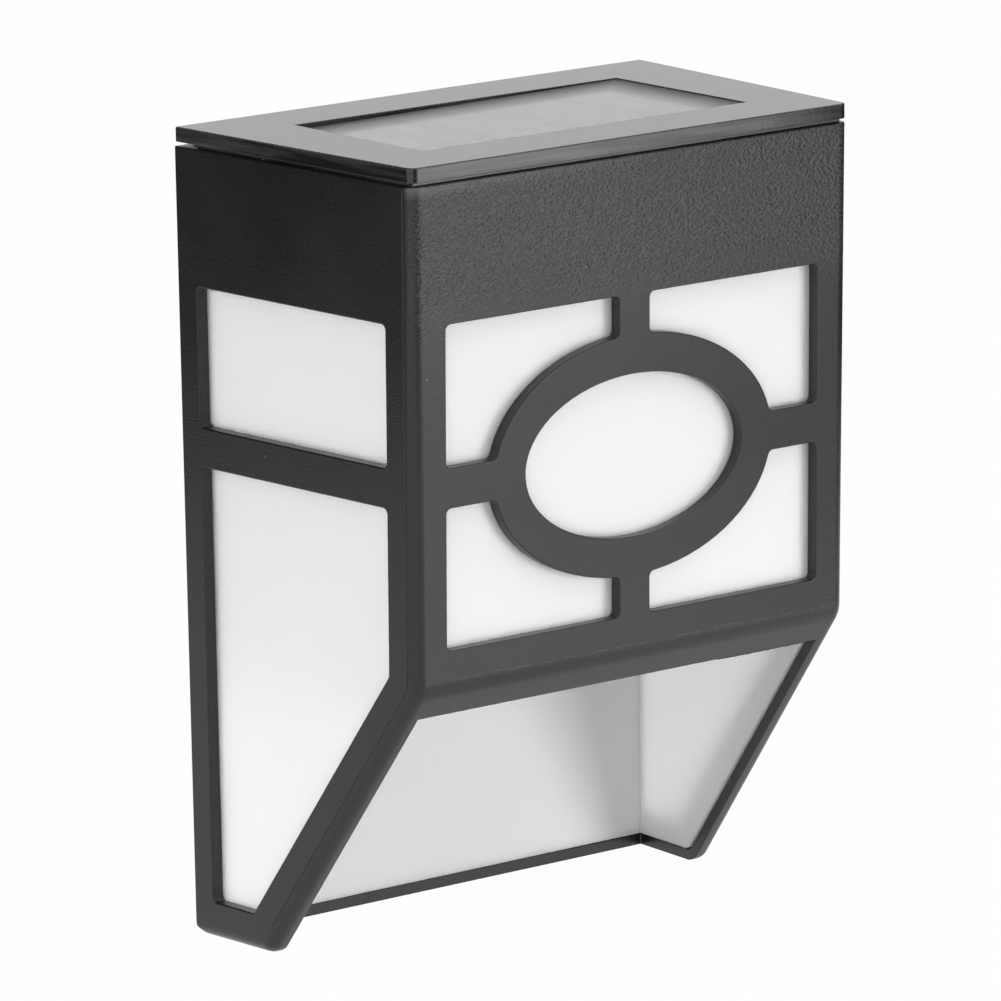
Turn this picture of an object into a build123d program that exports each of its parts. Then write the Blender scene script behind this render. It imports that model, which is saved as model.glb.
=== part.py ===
import os
from math import asin, cos, degrees, radians, sin

from build123d import *

os.makedirs("parts", exist_ok=True)

# Solar wall light. The origin lies on the wall, midway between the two keyholes. X runs to the right
# as seen from the front, Y into the wall and Z up. All lengths are in millimetres.

# Housing outline
keyhole_drop = 11.0  # rim to the middle of the keyholes' round entries
back_width = 90.0  # at the rim, on the wall side
front_width = 83.6  # at the rim, in front
foot_width = 88.4  # at the foot, on the wall side
rim_depth = 53.2  # wall to the front face at the rim
front_lean = 1.3  # how far the front face leans in from the rim to its bend
bend_drop = 75.8  # rim to the bend
foot_depth = 16.9  # wall to the toe, before it is rounded
body_height = 121.6  # rim to foot
wall = 2.0
side_radius = 2.1  # along the front, slanted and lower edges of each side
bend_radius = 5.0
toe_radius = 3.0
heel_radius = 4.0
heel_run = 3.0  # length of the foot that the heel's arc takes

# Open underside
lip_width = 3.1  # arms and back lip, from the outside
lip_depth = 1.8  # thickness of the lip that covers the diffuser's edge
band_length = 5.6  # slanted band under the front windows

# Windows
window_top_drop = 20.9  # rim to the top of every window
front_window_width = 71.1
front_window_height = 48.8
mullion = 5.9
transom = 6.1
oval_width = 41.4  # clear opening of the oval
oval_height = 24.7
oval_ring = 6.0
side_stile = 6.2  # frame between a side window and the front and slanted edges
side_sill = 5.9
back_stile = 4.3
window_radius = 0.9

# Keyholes
keyhole_spacing = 46.0
keyhole_entry = 8.5  # diameter that passes a screw head
keyhole_slot = 4.5  # width that holds the shank
keyhole_rise = 5.5  # entry to the end of the slot
head_room = 4.2  # space for screw heads between the back wall and the tray

# Diffuser
diffuser_wall = 1.5
diffuser_fit = 0.15  # play between the diffuser and the housing
diffuser_gap = 0.3  # play between the diffuser's upper edge and the tray

# Lid and solar panel
lid_thickness = 2.3
lid_setback = 0.15  # lid's edge inside the housing's faces
lid_front_radius = 1.5
lid_back_radius = 0.8
lid_edge = 0.25  # rounding of the upper edge
neck_height = 0.6  # shadow gap between lid and rim
neck_inset = 0.9
neck_back_inset = 3.8
recess_length = 61.9
recess_width = 30.7
recess_depth = 0.45  # lid's top to the panel, at the middle
panel_tilt = 0.55  # degrees, the left end sits lower
panel_fit = 0.3
board_thickness = 1.0
cell_thickness = 0.25
cover_thickness = 0.3  # over the cells
cell_count = 4
cell_gap = 0.8
cell_margin = 1.4
pan_wall = 1.3
pan_floor = 1.2
wire_slot_length = 8.0
wire_slot_width = 2.4

# Tray and its fixing
tray_wall = 1.5
tray_floor = 1.5
tray_fit = 0.2
post_diameter = 5.2
tray_screw_shank = 2.4
tray_screw_length = 10.0
tray_screw_head = 4.6
tray_screw_head_height = 1.6
post_margin = 0.6  # lid posts to the tray's walls
rear_post_gap = 2.7  # battery cover's ears to the rear lid posts

# Battery bay
battery_diameter = 14.2
battery_length = 50.5
battery_nub = 5.5
battery_nub_height = 1.3
wrap_thickness = 0.15
bay_play = 0.4  # round the battery
bay_wall = 1.2
bay_wall_height = 10.0
end_wall = 1.5
contact_room = 3.0  # each end of the battery
contact_thickness = 0.4
contact_width = 9.0
contact_height = 8.4
seat_play = 0.2  # battery to its cover
cover_play = 0.25
ledge = 1.1  # cover's ends under the bay's end walls
ear_radius = 4.0
boss_radius = 2.8
cover_screw_shank = 2.0
cover_screw_length = 7.0
cover_screw_head = 3.8
cover_screw_head_height = 1.4
thread_play = 0.25

# Circuit board and its parts
circuit_length = 48.0
circuit_width = 16.0
circuit_thickness = 1.2
circuit_margin = 4.3  # tray's front wall to the board
circuit_height = 3.9  # tray floor to the board's underside
circuit_post = 4.6
circuit_screw_spacing = 42.0
circuit_screw_shank = 1.8
circuit_screw_length = 4.2
circuit_screw_head = 3.6
circuit_screw_head_height = 1.2
led_spacing = 26.0
led_diameter = 4.8
led_flange = 5.6
led_flange_height = 1.0
led_barrel = 2.2  # flange to dome
led_leg = 0.5
led_leg_pitch = 2.54
led_play = 0.15
switch_length = 8.6
switch_width = 4.4
switch_height = 3.6
switch_depth = 1.8  # knob's seat in the switch
knob_length = 2.0
knob_width = 1.8
knob_stand = 1.4  # below the tray's floor
knob_travel = 2.0
knob_play = 0.2
chip_length = 5.2
chip_width = 3.9
chip_height = 1.5
choke_diameter = 3.6
choke_length = 9.0
choke_lead = 0.6
part_offset_x = 9.0  # chip to the left of the middle, choke to the right
part_offset_y = -3.0
wire_diameter = 1.1
wire_sides = 8
wire_bend = 1.3
wire_pitch = 4.0
wire_play = 0.05

# Heights and places worked out from the sizes above
rim_z = keyhole_drop
bend_z = rim_z - bend_drop
bend_depth = rim_depth - front_lean
foot_z = rim_z - body_height
reach = 40.0  # how far a cutting form runs past the housing
window_top = rim_z - window_top_drop
transom_z = window_top - front_window_height / 2
lid_bottom = rim_z + neck_height
lid_top = lid_bottom + lid_thickness
panel_thickness = board_thickness + cell_thickness + cover_thickness
recess_y = -rim_depth / 2
tilt_drop = recess_length / 2 * sin(radians(panel_tilt))
panel_floor_z = lid_top - recess_depth - panel_thickness
pan_bottom = panel_floor_z - tilt_drop - pan_floor
floor_top = pan_bottom - bay_play - battery_diameter - seat_play
tray_bottom = floor_top - tray_floor
diffuser_top = tray_bottom - diffuser_gap
tray_back = -(wall + head_room)
bay_y = tray_back - tray_wall - bay_play - battery_diameter / 2
bay_half = battery_length / 2 + contact_room
battery_z = floor_top + seat_play + battery_diameter / 2
circuit_bottom = floor_top + circuit_height
circuit_top = circuit_bottom + circuit_thickness
ear_x = bay_half + end_wall + boss_radius - bay_wall / 2
rim_front = Vector(-rim_depth, rim_z)
bend = Vector(-bend_depth, bend_z)
toe = Vector(-foot_depth, foot_z)
heel = Vector(0, foot_z)
panel_plane = Plane(
    origin=(0, recess_y, panel_floor_z),
    x_dir=(cos(radians(panel_tilt)), 0, sin(radians(panel_tilt))),
    z_dir=(-sin(radians(panel_tilt)), 0, cos(radians(panel_tilt))),
)


# Shared forms
def half_width(y, z):
    plan_taper = (back_width - front_width) / 2 / rim_depth
    side_draft = (back_width - foot_width) / 2 / body_height
    return back_width / 2 + plan_taper * y + side_draft * (z - rim_z)


def front_y(z):
    return bend.X + (rim_front.X - bend.X) * (z - bend_z) / bend_drop


def moved_line(start, end, inset):
    direction = (end - start).normalized()
    return start + Vector(-direction.Y, direction.X) * inset, direction


def crossing(line, other):
    (point, direction), (start, heading) = line, other
    travel = (start - point).cross(heading).Z / direction.cross(heading).Z
    return point + direction * travel


def side_outline(front, slant, foot, back, top):
    # Corners of the side profile: top front, bend, toe, heel and top back, each wall moved in
    lines = [
        (Vector(0, top), Vector(-1, 0)),
        moved_line(rim_front, bend, front),
        moved_line(bend, toe, slant),
        moved_line(toe, heel, foot),
        moved_line(heel, Vector(0, rim_z), back),
    ]
    return [crossing(line, after) for line, after in zip(lines, lines[1:] + lines[:1])]


def opening_outline(edge, depth, back):
    # The open underside, from the slanted band's edge to the back lip
    outward = (toe - bend).normalized()
    inward = Vector(-outward.Y, outward.X)
    edge_point = bend + outward * edge
    toe_inside = crossing(moved_line(bend, toe, depth), moved_line(toe, heel, depth))
    toe_outside = crossing(moved_line(bend, toe, -reach), moved_line(toe, heel, -reach))
    return [
        edge_point + inward * depth,
        edge_point - inward * reach,
        toe_outside,
        Vector(-back, foot_z - reach),
        Vector(-back, foot_z + depth),
        toe_inside,
    ]


def box_outline(front, back, top, bottom):
    # A block under the rim that follows the front face
    return [
        Vector(back, top),
        Vector(front_y(top) + front, top),
        Vector(front_y(bottom) + front, bottom),
        Vector(back, bottom),
    ]


def profile_face(corners, rounded=()):
    with BuildSketch(Plane.YZ) as profile:
        Polygon(*corners, align=None)
        for corner, radius in rounded:
            fillet(profile.vertices().sort_by_distance(corner)[0], radius)
    return profile.sketch


def tapered(profile, side):
    # A side profile between the two tapered side walls, each moved in
    with BuildPart() as form:
        for z in (foot_z - reach, rim_z + reach):
            near, far = reach, -rim_depth - reach
            with BuildSketch(Plane.XY.offset(z)):
                Polygon(
                    (half_width(near, z) - side, near),
                    (side - half_width(near, z), near),
                    (side - half_width(far, z), far),
                    (half_width(far, z) - side, far),
                    align=None,
                )
        loft(ruled=True)
        extrude(profile, amount=back_width, both=True, mode=Mode.INTERSECT)
    return form.part


def chamber(inset, slant, top):
    corners = side_outline(inset, slant, slant, inset, top)
    rounded = [(corners[1], bend_radius - slant), (corners[2], max(toe_radius - slant, wall / 10))]
    return tapered(profile_face(corners, rounded), inset)


def screw(head, head_height, shank, length):
    # A pan-head screw that points up, with its head's seat at the origin
    with BuildPart() as form:
        with BuildSketch():
            Circle(head / 2)
        extrude(amount=-head_height)
        chamfer(form.edges().group_by(Axis.Z)[0], head_height / 3)
        with BuildSketch():
            Circle(shank / 2)
        extrude(amount=length)
    return form.part


def wire(*points):
    with BuildPart() as form:
        with BuildLine() as route:
            FilletPolyline(*points, radius=wire_bend)
        with BuildSketch(Plane(route.line @ 0, z_dir=route.line % 0)):
            RegularPolygon(wire_diameter / 2, wire_sides)
        sweep()
    return form.part


# Housing
outer_corners = side_outline(0, 0, 0, 0, rim_z)
outer_rounding = [(bend, bend_radius), (toe, toe_radius)]
outer_form = tapered(profile_face(outer_corners, outer_rounding), 0)
cavity_form = chamber(wall, lip_depth, rim_z + reach)
opening_depth = lip_depth + diffuser_fit + 2 * diffuser_wall
housing_opening = tapered(profile_face(opening_outline(band_length, opening_depth, lip_width)), lip_width)

with BuildPart() as housing:
    add(outer_form)
    sides = housing.faces().sort_by(Axis.X)
    round_edges = (sides[0].edges() + sides[-1].edges()).filter_by(
        lambda edge: edge.center().Y < -lip_depth / 2 and edge.center().Z < rim_z - lip_depth / 2
    )
    fillet(round_edges, side_radius)
    with BuildSketch(Plane.YZ):
        with BuildLine():
            heel_arc = JernArc(
                start=(-heel_run, foot_z),
                tangent=(1, 0),
                radius=heel_radius,
                arc_size=degrees(asin(heel_run / heel_radius)),
            )
            Polyline(heel_arc @ 1, (wall, foot_z), (0, foot_z - wall), heel_arc @ 0)
        make_face()
    extrude(amount=back_width, both=True, mode=Mode.SUBTRACT)
    add(cavity_form, mode=Mode.SUBTRACT)
    add(housing_opening, mode=Mode.SUBTRACT)
    with BuildSketch(Plane.XZ.offset(rim_depth + wall)) as front_windows:
        with Locations((0, transom_z)):
            Rectangle(front_window_width, front_window_height)
            Rectangle(mullion, front_window_height, mode=Mode.SUBTRACT)
            Rectangle(front_window_width, transom, mode=Mode.SUBTRACT)
            Ellipse(oval_width / 2 + oval_ring, oval_height / 2 + oval_ring, mode=Mode.SUBTRACT)
        fillet(front_windows.vertices(), window_radius)
        with Locations((0, transom_z)):
            Ellipse(oval_width / 2, oval_height / 2)
    extrude(amount=-front_lean - 4 * wall, mode=Mode.SUBTRACT)
    with BuildSketch(Plane.YZ) as side_windows:
        Polygon(*side_outline(side_stile, side_stile, side_sill, back_stile, window_top), align=None)
        with Locations((-rim_depth / 2, transom_z)):
            Rectangle(rim_depth, transom, mode=Mode.SUBTRACT)
        fillet(side_windows.vertices(), window_radius)
    extrude(amount=back_width, both=True, mode=Mode.SUBTRACT)
    with BuildSketch(Plane.XZ):
        with GridLocations(keyhole_spacing, 0, 2, 1):
            Circle(keyhole_entry / 2)
        with Locations((0, keyhole_rise / 2)):
            with GridLocations(keyhole_spacing, 0, 2, 1):
                SlotCenterToCenter(keyhole_rise, keyhole_slot, rotation=90)
    extrude(amount=wall + diffuser_wall, mode=Mode.SUBTRACT)
housing.part.label = "housing"
export_step(housing.part, "parts/housing.step")

# Diffuser
diffuser_outer = wall + diffuser_fit
diffuser_inner = diffuser_outer + diffuser_wall
diffuser_form = chamber(diffuser_outer, lip_depth + diffuser_fit, diffuser_top)
diffuser_hollow = chamber(diffuser_inner, lip_depth + diffuser_fit + diffuser_wall, rim_z + reach)
diffuser_opening = tapered(
    profile_face(opening_outline(band_length - diffuser_gap, opening_depth, diffuser_inner)), diffuser_inner
)

with BuildPart() as diffuser:
    add(diffuser_form)
    add(diffuser_hollow, mode=Mode.SUBTRACT)
    add(diffuser_opening, mode=Mode.SUBTRACT)
diffuser.part.label = "diffuser"
export_step(diffuser.part, "parts/diffuser.step")


# Lid
def lid_outline(inset, back_inset):
    back_half = half_width(-back_inset, rim_z) - inset
    front_half = half_width(-rim_depth, rim_z) - inset
    return [
        (-back_half, -back_inset),
        (back_half, -back_inset),
        (front_half, inset - rim_depth),
        (-front_half, inset - rim_depth),
    ]


tray_front = front_y(floor_top) + wall + tray_fit + tray_wall
circuit_y = tray_front + circuit_margin + circuit_width / 2
front_post_y = tray_front + post_margin + post_diameter / 2
rear_post_y = bay_y - ear_radius - rear_post_gap - post_diameter / 2
post_places = []
for post_y in (rear_post_y, front_post_y):
    post_x = half_width(post_y, floor_top) - wall - tray_fit - tray_wall - post_margin - post_diameter / 2
    post_places += [(-post_x, post_y), (post_x, post_y)]

with BuildPart() as lid:
    with BuildSketch(Plane.XY.offset(lid_bottom)) as plate:
        Polygon(*lid_outline(lid_setback, lid_setback), align=None)
        corners = plate.vertices().sort_by(Axis.Y)
        fillet(corners[:2], lid_front_radius)
        fillet(corners[2:], lid_back_radius)
    extrude(amount=lid_thickness)
    fillet(lid.edges().group_by(Axis.Z)[-1], lid_edge)
    with BuildSketch(Plane.XY.offset(rim_z)):
        Polygon(*lid_outline(lid_setback + neck_inset, lid_setback + neck_back_inset), align=None)
    extrude(amount=neck_height)
    with BuildSketch(Plane.XY.offset(pan_bottom)):
        with Locations((0, recess_y)):
            Rectangle(recess_length + 2 * pan_wall, recess_width + 2 * pan_wall)
    extrude(until=Until.NEXT, target=lid.part)
    with BuildSketch(Plane.XY.offset(floor_top)):
        with Locations(*post_places):
            Circle(post_diameter / 2)
    extrude(amount=rim_z - floor_top)
    with Locations(*[(x, y, floor_top) for x, y in post_places]):
        Cylinder(
            tray_screw_shank / 2,
            tray_screw_length,
            align=(Align.CENTER, Align.CENTER, Align.MIN),
            mode=Mode.SUBTRACT,
        )
    with BuildSketch(panel_plane):
        Rectangle(recess_length, recess_width)
    extrude(amount=2 * lid_thickness, mode=Mode.SUBTRACT)
    with BuildSketch(Plane.XY.offset(pan_bottom)):
        with Locations((0, recess_y)):
            Rectangle(wire_slot_length, wire_slot_width)
    extrude(amount=lid_thickness, mode=Mode.SUBTRACT)
lid.part.label = "lid"
export_step(lid.part, "parts/lid.step")

# Solar panel
panel_length = recess_length - 2 * panel_fit
panel_width = recess_width - 2 * panel_fit
cell_pitch = (panel_length - 2 * cell_margin + cell_gap) / cell_count
cell_size = (cell_pitch - cell_gap, panel_width - 2 * cell_margin)

with BuildPart() as panel_board:
    with BuildSketch(panel_plane):
        Rectangle(panel_length, panel_width)
    extrude(amount=board_thickness)
panel_board.part.label = "panel_board"
export_step(panel_board.part, "parts/panel_board.step")

with BuildPart() as solar_cells:
    with BuildSketch(panel_plane.offset(board_thickness)):
        with GridLocations(cell_pitch, 0, cell_count, 1):
            Rectangle(*cell_size)
    extrude(amount=cell_thickness)
solar_cells.part.label = "solar_cells"
export_step(solar_cells.part, "parts/solar_cells.step")

with BuildPart() as panel_cover:
    with BuildSketch(panel_plane.offset(board_thickness)):
        Rectangle(panel_length, panel_width)
    extrude(amount=cell_thickness + cover_thickness)
    add(solar_cells.part, mode=Mode.SUBTRACT)
panel_cover.part.label = "panel_cover"
export_step(panel_cover.part, "parts/panel_cover.step")

# Tray under the lid
tray_outer = wall + tray_fit
tray_inner = tray_outer + tray_wall
tray_form = tapered(profile_face(box_outline(tray_outer, tray_back, rim_z, tray_bottom)), tray_outer)
tray_hollow = tapered(
    profile_face(box_outline(tray_inner, tray_back - tray_wall, rim_z + reach, floor_top)), tray_inner
)
bay_length = 2 * (bay_half + end_wall)
bay_width = battery_diameter + 2 * bay_play
cover_length = 2 * (bay_half + ledge)
switch_slot = knob_length + knob_travel + 2 * knob_play
knob_start_x = -knob_travel / 2


def cover_sketch(play):
    Rectangle(cover_length - 2 * play, bay_width - 2 * play)
    with GridLocations(2 * ear_x, 0, 2, 1):
        Circle(ear_radius - play)
    Rectangle(2 * ear_x, 2 * (boss_radius - play))


with BuildPart() as module_tray:
    add(tray_form)
    add(tray_hollow, mode=Mode.SUBTRACT)
    with BuildSketch(Plane.XY.offset(floor_top)):
        with Locations((0, bay_y)):
            Rectangle(bay_length, bay_width + 2 * bay_wall)
            Rectangle(bay_length - 2 * end_wall, bay_width, mode=Mode.SUBTRACT)
            with GridLocations(2 * ear_x, 0, 2, 1):
                Circle(boss_radius)
    extrude(amount=bay_wall_height)
    with BuildSketch(Plane.XY.offset(tray_bottom)):
        with Locations((0, bay_y)):
            cover_sketch(0)
    extrude(amount=tray_floor, mode=Mode.SUBTRACT)
    with BuildSketch(Plane.XY.offset(floor_top)):
        with Locations((0, bay_y)):
            with GridLocations(2 * ear_x, 0, 2, 1):
                Circle(cover_screw_shank / 2 + thread_play)
    extrude(amount=cover_screw_length, mode=Mode.SUBTRACT)
    with BuildSketch(Plane.XY.offset(floor_top)):
        with Locations((0, circuit_y)):
            with GridLocations(circuit_screw_spacing, 0, 2, 1):
                Circle(circuit_post / 2)
                Circle(circuit_screw_shank / 2, mode=Mode.SUBTRACT)
    extrude(amount=circuit_height)
    with BuildSketch(Plane.XY.offset(tray_bottom)):
        with Locations((0, circuit_y)):
            with GridLocations(led_spacing, 0, 2, 1):
                Circle(led_diameter / 2 + led_play)
            Rectangle(switch_slot, knob_width + 2 * knob_play)
        with Locations(*post_places):
            Circle(tray_screw_shank / 2)
    extrude(amount=tray_floor, mode=Mode.SUBTRACT)
module_tray.part.label = "module_tray"
export_step(module_tray.part, "parts/module_tray.step")

tray_screw = screw(tray_screw_head, tray_screw_head_height, tray_screw_shank, tray_screw_length)
with BuildPart() as tray_screws:
    with Locations(*[(x, y, tray_bottom) for x, y in post_places]):
        add(tray_screw)
tray_screws.part.label = "tray_screws"
export_step(tray_screws.part, "parts/tray_screws.step")

# Battery and its cover
can_radius = battery_diameter / 2 - wrap_thickness
can_length = battery_length - battery_nub_height
can_start = -battery_length / 2 + battery_nub_height
with BuildPart() as battery:
    with BuildSketch(Plane.YZ.offset(can_start)):
        with Locations((bay_y, battery_z)):
            Circle(can_radius)
    extrude(amount=can_length)
    with BuildSketch(Plane.YZ.offset(-battery_length / 2)):
        with Locations((bay_y, battery_z)):
            Circle(battery_nub / 2)
    extrude(amount=battery_nub_height)
battery.part.label = "battery"
export_step(battery.part, "parts/battery.step")

with BuildPart() as battery_wrap:
    with BuildSketch(Plane.YZ.offset(can_start)):
        with Locations((bay_y, battery_z)):
            Circle(battery_diameter / 2)
            Circle(can_radius, mode=Mode.SUBTRACT)
    extrude(amount=can_length)
battery_wrap.part.label = "battery_wrap"
export_step(battery_wrap.part, "parts/battery_wrap.step")

with BuildPart() as battery_cover:
    with BuildSketch(Plane.XY.offset(tray_bottom)):
        with Locations((0, bay_y)):
            cover_sketch(cover_play)
            with GridLocations(2 * ear_x, 0, 2, 1):
                Circle(cover_screw_shank / 2, mode=Mode.SUBTRACT)
    extrude(amount=tray_floor)
battery_cover.part.label = "battery_cover"
export_step(battery_cover.part, "parts/battery_cover.step")

cover_screw = screw(cover_screw_head, cover_screw_head_height, cover_screw_shank, cover_screw_length)
with BuildPart() as cover_screws:
    with Locations((-ear_x, bay_y, tray_bottom), (ear_x, bay_y, tray_bottom)):
        add(cover_screw)
cover_screws.part.label = "cover_screws"
export_step(cover_screws.part, "parts/cover_screws.step")


# Battery contacts
def contact(side):
    plate_x = bay_half - contact_thickness / 2
    touch_x = battery_length / 2 + contact_thickness / 2
    low, high = battery_z - contact_height / 2, battery_z + contact_height / 2
    spring = contact_height / 6
    with BuildPart() as form:
        with BuildSketch(Plane.XZ.offset(contact_width / 2 - bay_y)):
            with BuildLine():
                leaf = Polyline(
                    (side * plate_x, high),
                    (side * plate_x, low),
                    (side * touch_x, battery_z - spring),
                    (side * touch_x, battery_z + spring),
                    (side * (plate_x + touch_x) / 2, high - spring),
                )
            trace(leaf, line_width=contact_thickness)
        extrude(amount=-contact_width)
    return form.part


positive_form = contact(-1)
negative_form = contact(1)

with BuildPart() as positive_contact:
    add(positive_form)
positive_contact.part.label = "positive_contact"
export_step(positive_contact.part, "parts/positive_contact.step")

with BuildPart() as negative_contact:
    add(negative_form)
negative_contact.part.label = "negative_contact"
export_step(negative_contact.part, "parts/negative_contact.step")

# Circuit board
with BuildPart() as circuit_board:
    with BuildSketch(Plane.XY.offset(circuit_bottom)):
        with Locations((0, circuit_y)):
            Rectangle(circuit_length, circuit_width)
            with GridLocations(circuit_screw_spacing, 0, 2, 1):
                Circle(circuit_screw_shank / 2, mode=Mode.SUBTRACT)
    extrude(amount=circuit_thickness)
circuit_board.part.label = "circuit_board"
export_step(circuit_board.part, "parts/circuit_board.step")

circuit_screw = screw(circuit_screw_head, circuit_screw_head_height, circuit_screw_shank, circuit_screw_length)
with BuildPart() as circuit_screws:
    for side in (-1, 1):
        with Locations(Plane((side * circuit_screw_spacing / 2, circuit_y, circuit_top), z_dir=(0, 0, -1))):
            add(circuit_screw)
circuit_screws.part.label = "circuit_screws"
export_step(circuit_screws.part, "parts/circuit_screws.step")

with BuildPart() as leds:
    with BuildSketch(Plane.XY.offset(floor_top)):
        with Locations((0, circuit_y)):
            with GridLocations(led_spacing, 0, 2, 1):
                Circle(led_flange / 2)
    extrude(amount=led_flange_height)
    with BuildSketch(Plane.XY.offset(floor_top)):
        with Locations((0, circuit_y)):
            with GridLocations(led_spacing, 0, 2, 1):
                Circle(led_diameter / 2)
    extrude(amount=-led_barrel)
    with Locations((-led_spacing / 2, circuit_y), (led_spacing / 2, circuit_y)):
        with Locations((0, 0, floor_top - led_barrel)):
            Sphere(led_diameter / 2, arc_size1=-90, arc_size2=0)
    with BuildSketch(Plane.XY.offset(floor_top + led_flange_height)):
        with Locations((0, circuit_y)):
            with GridLocations(led_spacing, 0, 2, 1):
                with GridLocations(0, led_leg_pitch, 1, 2):
                    Rectangle(led_leg, led_leg)
    extrude(amount=circuit_height - led_flange_height)
leds.part.label = "leds"
export_step(leds.part, "parts/leds.step")

# Slide switch
switch_bottom = circuit_bottom - switch_height
knob_top = switch_bottom + switch_depth
with BuildPart() as switch_body:
    with BuildSketch(Plane.XY.offset(switch_bottom)):
        with Locations((0, circuit_y)):
            Rectangle(switch_length, switch_width)
    extrude(amount=switch_height)
    with BuildSketch(Plane.XY.offset(switch_bottom)):
        with Locations((0, circuit_y)):
            Rectangle(switch_slot, knob_width + 2 * knob_play)
    extrude(amount=switch_depth + knob_play, mode=Mode.SUBTRACT)
switch_body.part.label = "switch_body"
export_step(switch_body.part, "parts/switch_body.step")

with BuildPart() as switch_knob:
    with BuildSketch(Plane.XY.offset(tray_bottom - knob_stand)):
        with Locations((knob_start_x, circuit_y)):
            Rectangle(knob_length, knob_width)
    extrude(amount=knob_top - tray_bottom + knob_stand)
    fillet(switch_knob.edges().group_by(Axis.Z)[0], knob_play)
switch_knob.part.label = "switch_knob"
export_step(switch_knob.part, "parts/switch_knob.step")

# Controller chip and choke
with BuildPart() as control_chip:
    with BuildSketch(Plane.XY.offset(circuit_top)):
        with Locations((-part_offset_x, circuit_y + part_offset_y)):
            Rectangle(chip_length, chip_width)
    extrude(amount=chip_height)
    chamfer(control_chip.edges().group_by(Axis.Z)[-1], chip_height / 6)
control_chip.part.label = "control_chip"
export_step(control_chip.part, "parts/control_chip.step")

choke_z = circuit_top + choke_diameter / 2
with BuildPart() as choke:
    with BuildSketch(Plane.YZ.offset(part_offset_x - choke_length / 2)):
        with Locations((circuit_y + part_offset_y, choke_z)):
            Circle(choke_diameter / 2)
    extrude(amount=choke_length)
    chamfer(choke.edges().filter_by(GeomType.CIRCLE), choke_diameter / 8)
    with BuildSketch(Plane.XZ.offset(choke_lead / 2 - circuit_y - part_offset_y)):
        for side in (-1, 1):
            inner_x = part_offset_x + side * (choke_length / 2 - choke_lead)
            outer_x = part_offset_x + side * (choke_length / 2 + choke_lead)
            with BuildLine():
                lead = Polyline((inner_x, choke_z), (outer_x, choke_z), (outer_x, circuit_top))
            trace(lead, line_width=choke_lead)
    extrude(amount=-choke_lead)
choke.part.label = "choke"
export_step(choke.part, "parts/choke.step")

# Wires
wire_ceiling = pan_bottom - wire_diameter
landing_y = circuit_y + circuit_width / 2 - wire_diameter
contact_top = battery_z + contact_height / 2
contact_x = bay_half - contact_thickness / 2
landing_x = circuit_length / 2 - wire_pitch / 2
panel_landing_y = circuit_y - part_offset_y
mid_z = (pan_bottom + circuit_top) / 2


def battery_wire(side):
    return wire(
        (side * contact_x, bay_y, contact_top),
        (side * contact_x, bay_y, wire_ceiling),
        (side * landing_x, landing_y, wire_ceiling),
        (side * landing_x, landing_y, circuit_top),
    )


def panel_wire(side):
    start_x = side * wire_pitch / 2
    return wire(
        (start_x, recess_y, panel_floor_z - wire_play - wire_pitch * sin(radians(panel_tilt)) / 2),
        (start_x, recess_y, mid_z + wire_bend),
        (start_x, panel_landing_y, mid_z - wire_bend),
        (start_x, panel_landing_y, circuit_top),
    )


positive_forms = [battery_wire(-1), panel_wire(-1)]
negative_forms = [battery_wire(1), panel_wire(1)]

with BuildPart() as red_wires:
    add(positive_forms)
red_wires.part.label = "red_wires"
export_step(red_wires.part, "parts/red_wires.step")

with BuildPart() as black_wires:
    add(negative_forms)
black_wires.part.label = "black_wires"
export_step(black_wires.part, "parts/black_wires.step")
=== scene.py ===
import math

import bmesh
import bpy
from mathutils import Matrix, Vector, noise
from mathutils.bvhtree import BVHTree


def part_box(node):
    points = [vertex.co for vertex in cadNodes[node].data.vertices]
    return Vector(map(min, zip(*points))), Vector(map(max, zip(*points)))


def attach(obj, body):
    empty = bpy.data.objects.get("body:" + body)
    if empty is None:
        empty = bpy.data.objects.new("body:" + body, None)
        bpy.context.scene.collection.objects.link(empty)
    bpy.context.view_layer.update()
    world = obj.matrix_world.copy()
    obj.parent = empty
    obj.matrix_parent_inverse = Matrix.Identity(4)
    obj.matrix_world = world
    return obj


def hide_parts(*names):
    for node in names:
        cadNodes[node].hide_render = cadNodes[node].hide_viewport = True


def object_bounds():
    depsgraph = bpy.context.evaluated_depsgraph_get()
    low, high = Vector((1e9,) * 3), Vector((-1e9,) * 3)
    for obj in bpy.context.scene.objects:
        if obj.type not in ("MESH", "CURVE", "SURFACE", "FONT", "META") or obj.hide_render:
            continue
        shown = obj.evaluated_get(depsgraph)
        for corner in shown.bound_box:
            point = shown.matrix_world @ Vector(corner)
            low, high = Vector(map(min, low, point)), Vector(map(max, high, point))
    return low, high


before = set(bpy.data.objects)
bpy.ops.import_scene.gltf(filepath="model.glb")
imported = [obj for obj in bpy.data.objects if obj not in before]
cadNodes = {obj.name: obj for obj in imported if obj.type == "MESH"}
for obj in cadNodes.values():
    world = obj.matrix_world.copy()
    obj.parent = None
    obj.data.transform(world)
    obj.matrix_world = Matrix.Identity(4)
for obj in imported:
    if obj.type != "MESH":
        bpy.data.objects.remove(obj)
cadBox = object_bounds()
mm = 0.001
print("frame loaded:", len(cadNodes), "nodes")


# helpers for node trees
def feed(tree, socket, value):
    if isinstance(value, bpy.types.NodeSocket):
        tree.links.new(value, socket)
    else:
        socket.default_value = value


def addNode(tree, kind, inputs=None, **settings):
    made = tree.nodes.new(kind)
    for key, value in settings.items():
        setattr(made, key, value)
    for key, value in (inputs or {}).items():
        feed(tree, made.inputs[key], value)
    return made


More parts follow.
